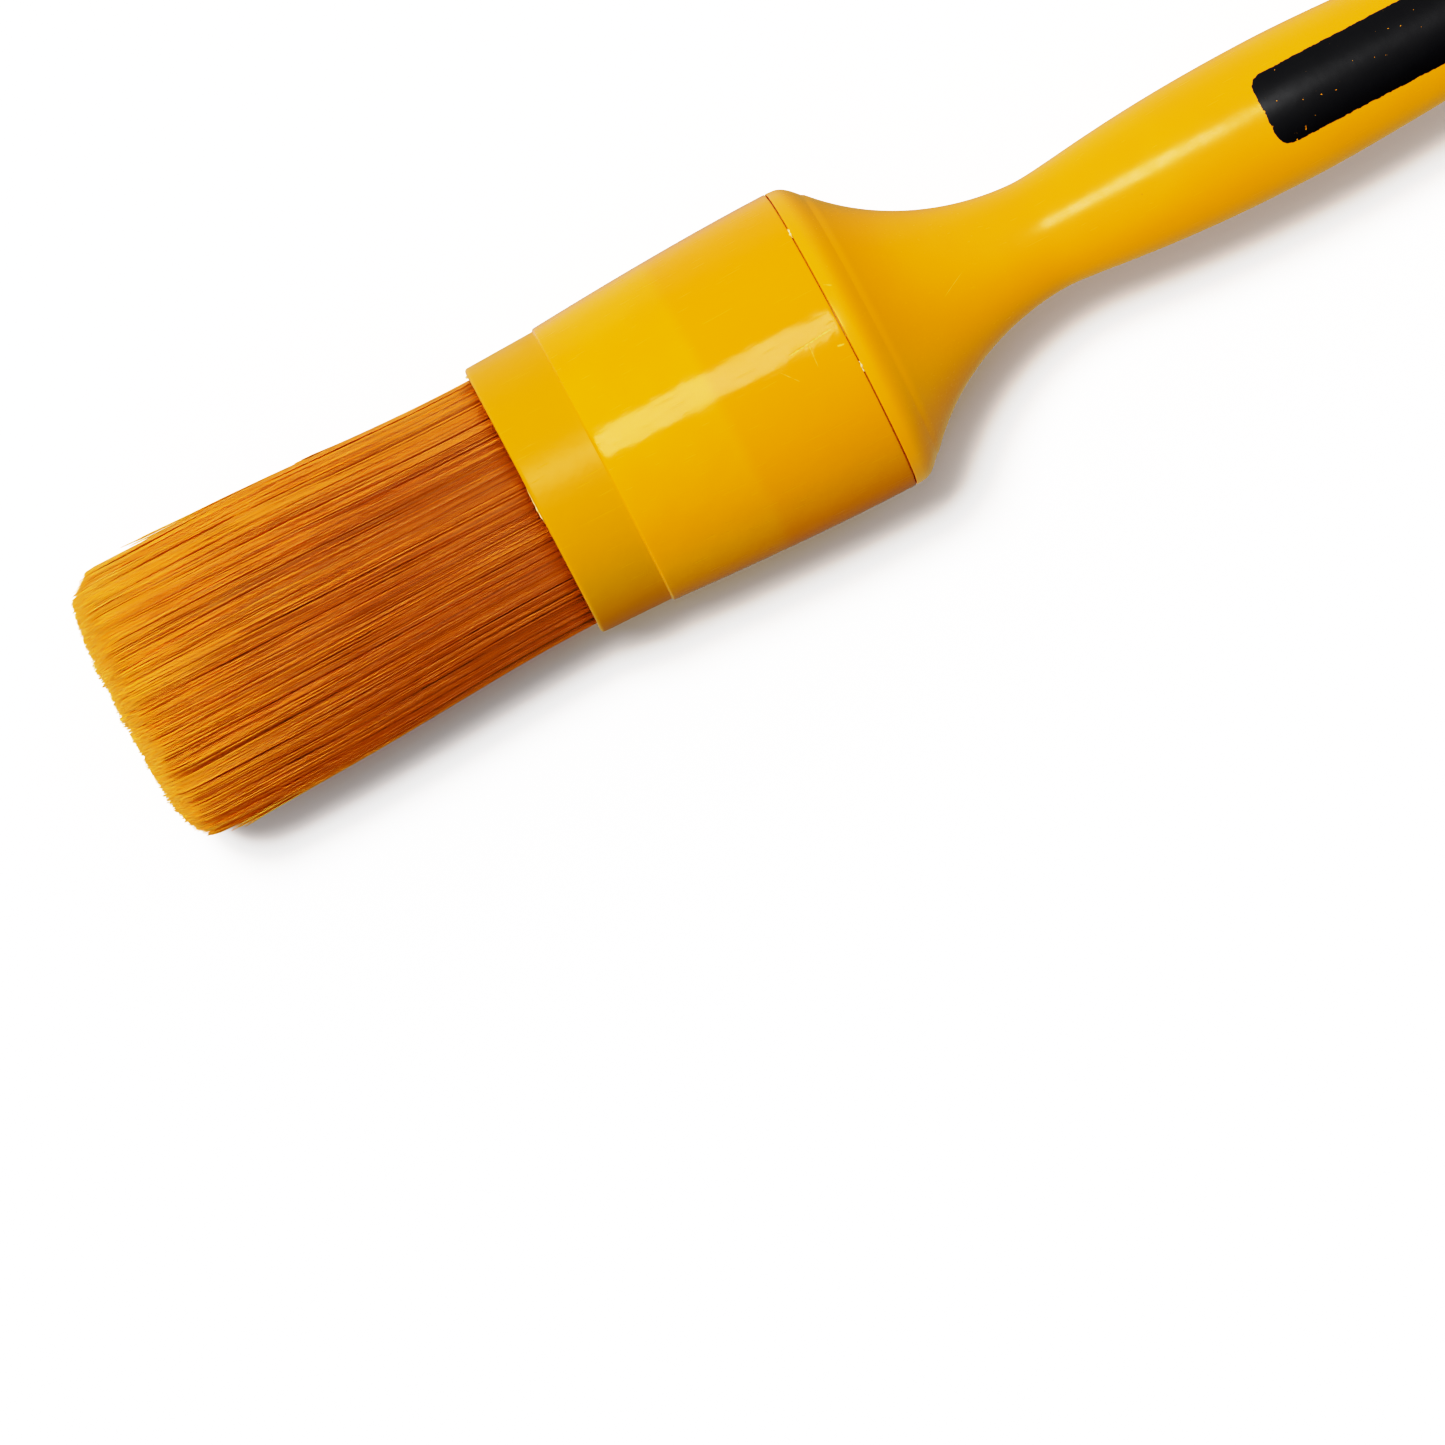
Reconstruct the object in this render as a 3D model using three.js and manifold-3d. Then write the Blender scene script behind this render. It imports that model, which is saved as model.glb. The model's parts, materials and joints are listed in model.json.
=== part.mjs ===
// A round brush in moulded plastic, lying on its side: a handle with a spigot, a ferrule pressed on the
// spigot, a plug of set resin in the ferrule, and the filament bundle, held by its butts in that plug.
// Millimetres, +Z up, tips towards -X and handle towards +X. Every piece is first made about the brush's
// own axis, with distance along that axis counted from the joint between ferrule and handle.
import * as THREE from 'three';
import { mergeVertices } from 'three/addons/utils/BufferGeometryUtils.js';
import Module from 'manifold-3d';

// Facets round every turned piece. One of them always faces straight down, so the brush doesn't roll.
const SIDES = 48;
// Clearance kept between two pieces that touch.
const GAP = 0.3;

// Ferrule: outside.
const FERRULE_LENGTH = 37.8;
const RIM_RADIUS = 16.25;
const RIM_ROUNDING = 0.5;
const BAND_END = -29.5;
const BAND_END_RADIUS = 16.48;
const BARREL_START_RADIUS = 16.74;
const SHOULDER_RADIUS = 17.95;
// Ferrule: inside.
const BORE_RADIUS = 15.3;
const SPIGOT_LENGTH = 14.6;
const SPIGOT_RADIUS = 15.5;
const SOCKET_RADIUS = SPIGOT_RADIUS + GAP;
const SNAP_CENTRE = -8;
const SNAP_HALF_WIDTH = 1.1;
const SNAP_HEIGHT = 0.4;

// Handle: spigot details, then the outside.
const SPIGOT_CHAMFER = 0.7;
const CORE_RADIUS = 10;
const CORE_DRAFT = 0.4;
const CORE_FLOOR = 0.6;
const SHOULDER_LAND = 1.2;
const COVE_START = 4.4;
const COVE_START_RADIUS = 15.25;
const NECK = 24.9;
const NECK_RADIUS = 6.44;
const BELLY = 54.9;
const BELLY_RADIUS = 8.36;
const WAIST = 108;
const WAIST_RADIUS = 6.2;
const SWELL = 139;
const SWELL_RADIUS = 7;
const HANDLE_END = 150;
const BUTT_RADIUS = 3.6;
// Hang hole through the swollen end of the handle, with a flat land round each mouth.
const HOLE_CENTRE = 141;
const HOLE_RADIUS = 3.2;
const LAND_RADIUS = 5.8;
const LAND_HEIGHT = 5.6;

// Filament bundle and the resin that holds it.
const BUNDLE_RADIUS = 15;
const BUNDLE_FULL_RADIUS = 16.2;
const TIP_EDGE_RADIUS = 15.4;
const TIPS = -89.1;
const TIP_CUT_BACK = 2.7;
const TIP_ROUNDNESS = 8;
const RESIN_FACE = -36.2;
const RESIN_RADIUS = BORE_RADIUS - GAP;
const RESIN_CHAMFER = 0.6;

// The bundle is divided into locks: a round one in the middle and rings of sectors about it.
const RING_WIDTH = 4.3;
const RINGS = [
  { locks: 6, arcSteps: 4 },
  { locks: 12, arcSteps: 2 },
  { locks: 16, arcSteps: 3 },
];
const CENTRE_LOCK_SIDES = 12;

const COLOURS = {
  handle: { color: 0xe2a300, roughness: 0.38, metalness: 0 },
  ferrule: { color: 0xe8b000, roughness: 0.22, metalness: 0 },
  resin: { color: 0xd9b48a, roughness: 0.3, metalness: 0 },
  bristle: { color: 0xd07a1c, roughness: 0.5, metalness: 0 },
};

const wasm = await Module();
wasm.setup();

// A point of a turned outline: its distance along the axis, then its distance from the axis.
function at(along, radius) {
  return new THREE.Vector2(radius, along);
}

// The points of one smooth stretch of an outline, without the first.
function sweep(divisions, start, leaving, arriving, end) {
  return new THREE.CubicBezierCurve(start, leaving, arriving, end).getPoints(divisions).slice(1);
}

// Turns an outline about the X axis. The outline runs towards +X along the outside of the piece.
function turned(outline) {
  const geometry = new THREE.LatheGeometry(outline, SIDES, Math.PI / SIDES);
  geometry.rotateZ(-Math.PI / 2);
  return geometry;
}

function solidOf(geometry) {
  const bare = geometry.clone();
  bare.deleteAttribute('normal');
  bare.deleteAttribute('uv');
  const merged = mergeVertices(bare);
  return new wasm.Manifold(new wasm.Mesh({
    numProp: 3,
    vertProperties: new Float32Array(merged.attributes.position.array),
    triVerts: new Uint32Array(merged.index.array),
  }));
}

function geometryOf(solid) {
  const mesh = solid.getMesh();
  const geometry = new THREE.BufferGeometry();
  geometry.setAttribute('position', new THREE.BufferAttribute(mesh.vertProperties, mesh.numProp));
  geometry.setIndex(new THREE.BufferAttribute(mesh.triVerts, 1));
  geometry.computeVertexNormals();
  return geometry;
}

function piece(name, geometry, look) {
  const mesh = new THREE.Mesh(geometry, new THREE.MeshStandardMaterial(look));
  mesh.name = name;
  return mesh;
}

// The low rounded bead that snaps the spigot into the socket, and the groove that takes it.
function snapBead(radius) {
  return [
    at(SNAP_CENTRE - SNAP_HALF_WIDTH, radius),
    at(SNAP_CENTRE - SNAP_HALF_WIDTH / 2, radius + SNAP_HEIGHT),
    at(SNAP_CENTRE + SNAP_HALF_WIDTH / 2, radius + SNAP_HEIGHT),
    at(SNAP_CENTRE + SNAP_HALF_WIDTH, radius),
  ];
}

// A sleeve: plain front band, fine step, then a barrel that swells to the shoulder.
function ferruleOutline() {
  const rim = -FERRULE_LENGTH;
  const jointFace = -GAP / 2;
  const rimFaceEdge = at(rim, RIM_RADIUS - RIM_ROUNDING);
  const rimSideEdge = at(rim + RIM_ROUNDING, RIM_RADIUS);
  const barrelStart = at(BAND_END, BARREL_START_RADIUS);
  const barrelEnd = at(jointFace, SHOULDER_RADIUS);
  return [
    at(rim, BORE_RADIUS),
    rimFaceEdge,
    ...sweep(3, rimFaceEdge, at(rim, RIM_RADIUS), at(rim, RIM_RADIUS), rimSideEdge),
    at(BAND_END - GAP, BAND_END_RADIUS),
    barrelStart,
    ...sweep(7, barrelStart, at(-17.9, 17.55), at(-8.1, SHOULDER_RADIUS), barrelEnd),
    at(jointFace, SOCKET_RADIUS),
    ...snapBead(SOCKET_RADIUS).reverse(),
    at(-SPIGOT_LENGTH - GAP, SOCKET_RADIUS),
    at(-SPIGOT_LENGTH - GAP, BORE_RADIUS),
    at(rim, BORE_RADIUS),
  ];
}

// The spigot has a blind core, as a thick moulding needs. Behind the shoulder flange comes a concave cove
// down to the neck, then the belly, a long taper to the waist, and the swollen end with its flat butt.
function handleOutline() {
  const spigotFace = -SPIGOT_LENGTH;
  const jointFace = GAP / 2;
  const flangeEdge = at(SHOULDER_LAND, SHOULDER_RADIUS - 0.1);
  const creaseEdge = at(COVE_START - 0.9, COVE_START_RADIUS + 0.6);
  const coveStart = at(COVE_START, COVE_START_RADIUS);
  const neck = at(NECK, NECK_RADIUS);
  const belly = at(BELLY, BELLY_RADIUS);
  const waist = at(WAIST, WAIST_RADIUS);
  const swell = at(SWELL, SWELL_RADIUS);
  const butt = at(HANDLE_END, BUTT_RADIUS);
  return [
    at(CORE_FLOOR, 0),
    at(CORE_FLOOR, CORE_RADIUS - CORE_DRAFT),
    at(spigotFace, CORE_RADIUS),
    at(spigotFace, SPIGOT_RADIUS - SPIGOT_CHAMFER),
    at(spigotFace + SPIGOT_CHAMFER, SPIGOT_RADIUS),
    ...snapBead(SPIGOT_RADIUS),
    at(jointFace, SPIGOT_RADIUS),
    at(jointFace, SHOULDER_RADIUS),
    flangeEdge,
    ...sweep(4, flangeEdge, at(2.4, 17.8), at(3, 16.9), creaseEdge),
    coveStart,
    ...sweep(8, coveStart, at(12.4, 6.87), at(22.95, NECK_RADIUS), neck),
    ...sweep(5, neck, at(28.9, NECK_RADIUS), at(36.9, BELLY_RADIUS), belly),
    ...sweep(5, belly, at(66, BELLY_RADIUS), at(88, WAIST_RADIUS), waist),
    ...sweep(4, waist, at(118, WAIST_RADIUS), at(129, SWELL_RADIUS), swell),
    ...sweep(6, swell, at(145.5, SWELL_RADIUS), at(HANDLE_END, 6.3), butt),
    at(HANDLE_END, 0),
  ];
}

// A short round cutter across the handle's end, standing on its lower end.
function endCutter(radius, bottom, top) {
  const cutter = new THREE.CylinderGeometry(radius, radius, top - bottom, SIDES / 2);
  cutter.rotateX(Math.PI / 2);
  cutter.translate(HOLE_CENTRE, 0, (top + bottom) / 2);
  return solidOf(cutter);
}

function handleGeometry() {
  const clear = 2 * SWELL_RADIUS;
  const cuts = [
    endCutter(HOLE_RADIUS, -clear, clear),
    endCutter(LAND_RADIUS, LAND_HEIGHT, clear),
    endCutter(LAND_RADIUS, -clear, -LAND_HEIGHT),
  ];
  return geometryOf(cuts.reduce((body, cut) => body.subtract(cut), solidOf(turned(handleOutline()))));
}

function resinGeometry() {
  const back = -SPIGOT_LENGTH - GAP;
  return turned([
    at(RESIN_FACE, 0),
    at(RESIN_FACE, RESIN_RADIUS),
    at(back - RESIN_CHAMFER, RESIN_RADIUS),
    at(back, RESIN_RADIUS - RESIN_CHAMFER),
    at(back, 0),
  ]);
}

// Radius of the whole bundle at a distance along the axis: straight at the mouth, then gently fuller.
function bundleRadius(along) {
  const fullness = THREE.MathUtils.smoothstep(-along, 40, 70);
  return THREE.MathUtils.lerp(BUNDLE_RADIUS, BUNDLE_FULL_RADIUS, fullness);
}

// Cross-sections of the bundle from the tips to the resin. Only the tips are cut back at their rim.
const STATIONS = [
  { along: TIPS, radius: TIP_EDGE_RADIUS, cutBack: TIP_CUT_BACK },
  ...[-84.2, -70, -55, -40, RESIN_FACE - GAP].map((along) => (
    { along, radius: bundleRadius(along), cutBack: 0 }
  )),
];

function arc(radius, from, to, steps) {
  return Array.from({ length: steps + 1 }, (_, step) => {
    const angle = THREE.MathUtils.lerp(from, to, step / steps);
    return new THREE.Vector2(radius * Math.cos(angle), radius * Math.sin(angle));
  });
}

// A sector of a ring about the axis, drawn in by half a gap on each side that faces another lock.
function sectorOutline(inner, outer, middle, span, steps) {
  const innerRadius = inner + GAP / 2;
  const outerRadius = outer < BUNDLE_RADIUS ? outer - GAP / 2 : BUNDLE_RADIUS;
  const reach = (radius) => span / 2 - Math.asin(GAP / 2 / radius);
  const outerReach = reach(outerRadius);
  const innerReach = reach(innerRadius);
  return [
    ...arc(outerRadius, middle - outerReach, middle + outerReach, steps),
    ...arc(innerRadius, middle + innerReach, middle - innerReach, steps),
  ];
}

// A prism on the outline, with its cross-sections moved to the bundle's stations.
function lockGeometry(outline) {
  const depth = STATIONS.length - 1;
  const settings = { depth, steps: depth, bevelEnabled: false };
  const geometry = new THREE.ExtrudeGeometry(new THREE.Shape(outline), settings);
  const position = geometry.attributes.position;
  const across = new THREE.Vector2();
  for (let i = 0; i < position.count; i++) {
    const station = STATIONS[Math.round(position.getZ(i))];
    across.set(position.getX(i), position.getY(i)).multiplyScalar(station.radius / BUNDLE_RADIUS);
    const cutBack = station.cutBack * (across.length() / TIP_EDGE_RADIUS) ** TIP_ROUNDNESS;
    position.setXYZ(i, station.along + cutBack, across.x, across.y);
  }
  geometry.computeVertexNormals();
  return geometry;
}

function lockOutlines() {
  const centreRadius = BUNDLE_RADIUS - RINGS.length * RING_WIDTH;
  const centre = arc(centreRadius - GAP / 2, 0, 2 * Math.PI, CENTRE_LOCK_SIDES).slice(1);
  const sectors = RINGS.flatMap(({ locks, arcSteps }, ring) => {
    const inner = centreRadius + ring * RING_WIDTH;
    const span = 2 * Math.PI / locks;
    return Array.from({ length: locks }, (_, lock) => (
      sectorOutline(inner, inner + RING_WIDTH, lock * span, span, arcSteps)
    ));
  });
  return [centre, ...sectors];
}

const brush = new THREE.Group();
brush.add(piece('handle', handleGeometry(), COLOURS.handle));
brush.add(piece('ferrule', turned(ferruleOutline()), COLOURS.ferrule));
brush.add(piece('resin_plug', resinGeometry(), COLOURS.resin));
lockOutlines().forEach((outline, index) => {
  const number = String(index + 1).padStart(2, '0');
  brush.add(piece(`bristle_lock_${number}`, lockGeometry(outline), COLOURS.bristle));
});

// Laid down, the brush rests on the barrel of its ferrule and on the full part of the bundle. The line
// that touches both has the least slope that a line from the bundle needs to clear the whole barrel.
const barrel = ferruleOutline().filter((point) => point.x >= BARREL_START_RADIUS);
const restSlope = Math.min(...STATIONS.map(({ along, radius }) => (
  Math.max(...barrel.map((point) => (point.x - radius) / (point.y - along)))
)));
brush.rotation.y = -Math.atan(restSlope);
brush.updateMatrixWorld(true);
const extent = new THREE.Box3().setFromObject(brush, true);
brush.position.set(-(extent.min.x + extent.max.x) / 2, 0, -extent.min.z);

const part = new THREE.Group();
part.add(brush);

export default part;
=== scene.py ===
import json
import math

import bmesh
import bpy
import numpy as np
from mathutils import Matrix, Vector


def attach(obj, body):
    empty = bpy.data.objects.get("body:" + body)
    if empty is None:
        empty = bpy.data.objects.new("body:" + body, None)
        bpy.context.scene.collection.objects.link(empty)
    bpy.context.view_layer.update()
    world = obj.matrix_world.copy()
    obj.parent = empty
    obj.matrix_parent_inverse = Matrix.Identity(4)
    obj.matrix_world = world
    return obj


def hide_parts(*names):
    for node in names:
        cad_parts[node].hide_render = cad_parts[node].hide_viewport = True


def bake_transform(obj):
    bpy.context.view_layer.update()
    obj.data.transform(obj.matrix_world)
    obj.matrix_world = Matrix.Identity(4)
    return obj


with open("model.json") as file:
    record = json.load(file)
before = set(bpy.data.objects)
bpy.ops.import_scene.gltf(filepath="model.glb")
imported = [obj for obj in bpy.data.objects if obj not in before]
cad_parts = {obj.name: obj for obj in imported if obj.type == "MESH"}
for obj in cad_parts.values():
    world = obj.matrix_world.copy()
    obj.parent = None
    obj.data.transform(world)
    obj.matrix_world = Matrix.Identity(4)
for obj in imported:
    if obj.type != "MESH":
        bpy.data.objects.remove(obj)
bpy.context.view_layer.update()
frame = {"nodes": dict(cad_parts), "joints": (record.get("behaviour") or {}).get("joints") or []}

MM = 0.001
SEED = 359
# Clearance between two pieces where it doesn't show.
GAP = 0.3

# Ferrule. The rim that shows stands a little further out than the CAD's.
FERRULE_LENGTH = 37.8
RIM = -38.06
RIM_RADIUS = 16.25
RIM_ROUNDING = 0.5
BORE_RADIUS = 15.3
BORE_ROUNDING = 0.3
BAND_END = -29.5
BAND_END_RADIUS = 16.48
STEP_LENGTH = 0.14
STEP_FOOT_ROUNDING = 0.1
STEP_TOP_ROUNDING = 0.17
BARREL_START = -29.2
BARREL_START_RADIUS = 16.74
SHOULDER_RADIUS = 17.95
JOINT_GAP = 0.12
JOINT_GAP_DEPTH = 0.55
EDGE_ROUNDING = 0.12

# Handle.
SPIGOT_LENGTH = 14.6
SPIGOT_RADIUS = 15.5
SPIGOT_CHAMFER = 0.7
SOCKET_RADIUS = SPIGOT_RADIUS + GAP
CORE_RADIUS = 10
CORE_DRAFT = 0.4
CORE_FLOOR = 0.6
COLLAR_FRONT = -0.02
FLANGE_LAND = 1.0
FLANGE_LAND_RADIUS = 17.88
CREASE = 3.5
CREASE_RADIUS = 16.08
COVE_START = 4.4
COVE_START_RADIUS = 15.3
NECK = 24.9
NECK_RADIUS = 6.44
BELLY = 54.9
BELLY_RADIUS = 8.36
WAIST = 108
WAIST_RADIUS = 6.2
SWELL = 139
SWELL_RADIUS = 7
HANDLE_END = 150
BUTT_RADIUS = 3.6
HOLE_CENTRE = 141
HOLE_RADIUS = 3.2
HOLE_FLARE = 0.7
LAND_RADIUS = 5.8
LAND_HEIGHT = 5.6
LAND_ROUNDING = 0.25

# Filament bundle.
BUNDLE_RADIUS = 15
BUNDLE_FULL_RADIUS = 16.05
FULL_FROM = 40
FULL_AT = 70
TIP_EDGE_RADIUS = 15.2
TAPER_START = -84.2
TIPS = -89.0
TIP_CUT_BACK = 1.8
TIP_ROUNDNESS = 7
# On one side, from this distance off the middle, the tips are worn back further.
WORN_FROM = 12.6
WORN_BACK = 2.0
FILAMENT_ROOT = -35.2

# Where the brush lies in the frame: the bundle's hinge stands on the axis, at the ferrule's mouth.
hinge = next(joint for joint in frame["joints"] if joint["name"] == "bristle_bend")
MOUTH = Vector(hinge["pos_m"])
UP = Vector(hinge["axis"]).normalized()
ACROSS = Vector((0, 1, 0))
ALONG = ACROSS.cross(UP)
JOINT = MOUTH + ALONG * FERRULE_LENGTH * MM


def to_frame(points):
    return np.array(JOINT) + MM * (np.asarray(points, float) @ np.array([ALONG, ACROSS, UP]))


# --- Outlines: lists of (distance along the axis, distance from it) -------------------------------


def sweep(steps, *control):
    """Points of one smooth stretch, a cubic curve, without its first point."""
    a, b, c, d = (np.array(p, float) for p in control)
    t = (np.arange(1, steps + 1) / steps)[:, None]
    curve = a * (1 - t) ** 3 + 3 * b * t * (1 - t) ** 2 + 3 * c * t**2 * (1 - t) + d * t**3
    return [tuple(p) for p in curve]


def corner(before, at, after, rounding, steps=5):
    """Points that round the corner at `at`, on the way from one neighbour to the next."""
    at = np.array(at, float)
    ends = []
    for other in (before, after):
        towards = np.array(other, float) - at
        ends.append(at + towards * rounding / np.linalg.norm(towards))
    t = (np.arange(steps + 1) / steps)[:, None]
    curve = ends[0] * (1 - t) ** 2 + 2 * at * t * (1 - t) + ends[1] * t**2
    return [tuple(p) for p in curve]


def refined(outline, longest):
    """The same outline with no stretch longer than that."""
    points = [outline[0]]
    for a, b in zip(outline, outline[1:]):
        pieces = max(1, math.ceil(math.dist(a, b) / longest))
        for k in range(1, pieces + 1):
            points.append(tuple(np.array(a) + (np.array(b) - np.array(a)) * k / pieces))
    return points


def refined_loop(outline, longest):
    """The same for an outline that comes back to its first point, which isn't repeated at the end."""
    return refined([*outline, outline[0]], longest)[:-1]


def ferrule_outline():
    face = -JOINT_GAP / 2
    bore_front = (RIM, BORE_RADIUS)
    bore_middle = (BAND_END, BORE_RADIUS)
    bore_back = (-SPIGOT_LENGTH - GAP, BORE_RADIUS)
    rim_edge = (RIM, RIM_RADIUS)
    step_foot = (BAND_END, BAND_END_RADIUS)
    step_top = (BAND_END + STEP_LENGTH, BARREL_START_RADIUS)
    barrel_start = (BARREL_START, BARREL_START_RADIUS + 0.02)
    barrel_end = (face - 0.4, SHOULDER_RADIUS)
    barrel = sweep(64, barrel_start, (-17.9, 17.55), (-8.1, SHOULDER_RADIUS), barrel_end)
    shoulder = (face, SHOULDER_RADIUS)
    socket_mouth = (face, SOCKET_RADIUS)
    socket_floor = (-SPIGOT_LENGTH - GAP, SOCKET_RADIUS)
    return [
        *corner(bore_middle, bore_front, rim_edge, BORE_ROUNDING),
        *corner(bore_front, rim_edge, step_foot, RIM_ROUNDING, 8),
        *corner(rim_edge, step_foot, step_top, STEP_FOOT_ROUNDING),
        *corner(step_foot, step_top, barrel[0], STEP_TOP_ROUNDING),
        *barrel,
        *corner(barrel[-2], shoulder, socket_mouth, EDGE_ROUNDING),
        *corner(shoulder, socket_mouth, socket_floor, EDGE_ROUNDING),
        socket_floor,
        bore_back,
        bore_middle,
    ]


def handle_outline():
    face = JOINT_GAP / 2
    # A collar behind the joint leaves only a shallow slit to see into.
    collar_radius = SHOULDER_RADIUS - JOINT_GAP_DEPTH
    collar_back = (face, collar_radius)
    shoulder = (face, SHOULDER_RADIUS)
    flange_land = (FLANGE_LAND, FLANGE_LAND_RADIUS)
    crease = (CREASE, CREASE_RADIUS)
    lip = (CREASE + 0.35, CREASE_RADIUS - 0.2)
    cove_start = (COVE_START, COVE_START_RADIUS)
    neck = (NECK, NECK_RADIUS)
    belly = (BELLY, BELLY_RADIUS)
    waist = (WAIST, WAIST_RADIUS)
    swell = (SWELL, SWELL_RADIUS)
    butt = (HANDLE_END, BUTT_RADIUS)
    return [
        (CORE_FLOOR, 0),
        (CORE_FLOOR, CORE_RADIUS - CORE_DRAFT),
        (-SPIGOT_LENGTH, CORE_RADIUS),
        (-SPIGOT_LENGTH, SPIGOT_RADIUS - SPIGOT_CHAMFER),
        (-SPIGOT_LENGTH + SPIGOT_CHAMFER, SPIGOT_RADIUS),
        (COLLAR_FRONT, SPIGOT_RADIUS),
        (COLLAR_FRONT, collar_radius),
        collar_back,
        *corner(collar_back, shoulder, flange_land, EDGE_ROUNDING),
        flange_land,
        *sweep(18, flange_land, (2.05, 17.76), (2.8, 16.86), crease),
        lip,
        cove_start,
        *sweep(56, cove_start, (12.4, 6.87), (22.95, NECK_RADIUS), neck),
        *sweep(56, neck, (28.9, NECK_RADIUS), (36.9, BELLY_RADIUS), belly),
        *sweep(70, belly, (66, BELLY_RADIUS), (88, WAIST_RADIUS), waist),
        *sweep(48, waist, (118, WAIST_RADIUS), (129, SWELL_RADIUS), swell),
        *sweep(40, swell, (145.5, SWELL_RADIUS), (HANDLE_END, 6.3), butt),
        (HANDLE_END, 0),
    ]


# --- Meshes ---------------------------------------------------------------------------------------

TURNED_SIDES = 192
HOLE_SIDES = 96


def new_object(name, mesh, material):
    mesh.materials.append(material)
    made = bpy.data.objects.new(name, mesh)
    bpy.context.scene.collection.objects.link(made)
    return made


def keep_brush_place(mesh, points):
    """Stores each point's place about the brush's axis, in millimetres, for the materials to read."""
    place = mesh.attributes.new("brush_mm", "FLOAT_VECTOR", "POINT")
    place.data.foreach_set("vector", np.asarray(points, np.float32).ravel())


def closed_mesh(name, points, faces):
    """A smooth mesh with points in the same place joined and every face turned outwards."""
    mesh = bpy.data.meshes.new(name)
    mesh.from_pydata(points, [], faces)
    mesh.polygons.foreach_set("use_smooth", [True] * len(mesh.polygons))
    edit = bmesh.new()
    edit.from_mesh(mesh)
    bmesh.ops.remove_doubles(edit, verts=edit.verts, dist=1e-4)
    bmesh.ops.recalc_face_normals(edit, faces=edit.faces)
    edit.to_mesh(mesh)
    edit.free()
    return mesh


def ring_faces(rings, sides, closed=False):
    """Four-cornered faces between rings of points. Closed rings come back to the first one."""
    steps = rings if closed else rings - 1
    i, j = np.meshgrid(np.arange(steps), np.arange(sides), indexing="ij")
    ahead = (i + 1) % rings
    beside = (j + 1) % sides
    corners = [i * sides + j, i * sides + beside, ahead * sides + beside, ahead * sides + j]
    return np.stack(corners, -1).reshape(-1, 4).tolist()


def turned_mesh(name, outline, sides, closed):
    """An outline turned about the brush's axis. A closed one comes back to its first point."""
    rings = np.array(outline, float)
    angles = np.arange(sides) * 2 * math.pi / sides
    points = np.empty((len(rings), sides, 3))
    points[..., 0] = rings[:, :1]
    points[..., 1] = rings[:, 1:] * np.cos(angles)
    points[..., 2] = rings[:, 1:] * np.sin(angles)
    return closed_mesh(name, points.reshape(-1, 3), ring_faces(len(rings), sides, closed))


def settle(mesh):
    """Moves a mesh made in millimetres about the brush's axis to its place in the frame."""
    points = np.empty(len(mesh.vertices) * 3)
    mesh.vertices.foreach_get("co", points)
    keep_brush_place(mesh, points)
    mesh.vertices.foreach_set("co", to_frame(points.reshape(-1, 3)).ravel())
    mesh.update()


def cut(mesh, cutter):
    """The mesh with the cutter taken out of it."""
    body = bpy.data.objects.new("cut_body", mesh)
    tool = bpy.data.objects.new("cut_tool", cutter)
    for made in (body, tool):
        bpy.context.scene.collection.objects.link(made)
    boolean = body.modifiers.new("cut", "BOOLEAN")
    boolean.operation = "DIFFERENCE"
    boolean.object = tool
    boolean.solver = "EXACT"
    depsgraph = bpy.context.evaluated_depsgraph_get()
    evaluated = body.evaluated_get(depsgraph)
    result = bpy.data.meshes.new_from_object(evaluated, preserve_all_data_layers=True, depsgraph=depsgraph)
    bpy.data.objects.remove(body)
    bpy.data.objects.remove(tool)
    return result


def hang_hole_cutter():
    """A spool across the handle's end: the hole with flared mouths, and the flat land round each."""
    clear = 2 * SWELL_RADIUS
    mouth = (LAND_HEIGHT, HOLE_RADIUS)
    land_edge = (LAND_HEIGHT, LAND_RADIUS)
    half = [
        (0.4, HOLE_RADIUS),
        *corner((0, HOLE_RADIUS), mouth, land_edge, HOLE_FLARE, 8),
        *corner(mouth, land_edge, (clear, LAND_RADIUS), LAND_ROUNDING),
        (clear, LAND_RADIUS + 0.3),
        (clear, 0),
    ]
    outline = refined([(-height, radius) for height, radius in reversed(half)] + half, 1.0)
    mesh = turned_mesh("hang_hole_cutter", outline, HOLE_SIDES, False)
    for vertex in mesh.vertices:
        height, x, y = vertex.co
        vertex.co = (HOLE_CENTRE + x, y, height)
    return mesh


# --- Material tools -------------------------------------------------------------------------------


def add(tree, kind, inputs=None, **settings):
    """Adds a shader node. An input is a value, or another node's output, which is linked."""
    node = tree.nodes.new("ShaderNode" + kind)
    for key, value in settings.items():
        setattr(node, key, value)
    for socket, value in (inputs or {}).items():
        if isinstance(value, bpy.types.NodeSocket):
            tree.links.new(value, node.inputs[socket])
        else:
            node.inputs[socket].default_value = value
    return node


def maths(tree, operation, a, b=0.0, clamp=False):
    return add(tree, "Math", {0: a, 1: b}, operation=operation, use_clamp=clamp).outputs[0]


def times(tree, a, b):
    return maths(tree, "MULTIPLY", a, b)


def plus(tree, a, b):
    return maths(tree, "ADD", a, b)


def vector_maths(tree, operation, a, b=(0, 0, 0), output=0):
    return add(tree, "VectorMath", {0: a, 1: b}, operation=operation).outputs[output]


def split(tree, vector):
    """The three parts of a vector."""
    return add(tree, "SeparateXYZ", {0: vector}).outputs


def spread(tree, value, low, high, to_low=0.0, to_high=1.0, smooth=True):
    """Carries the range from low to high over to another range, and holds it at the ends."""
    kind = "SMOOTHSTEP" if smooth else "LINEAR"
    inputs = {"Value": value, "From Min": low, "From Max": high, "To Min": to_low, "To Max": to_high}
    return add(tree, "MapRange", inputs, interpolation_type=kind).outputs[0]


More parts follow.
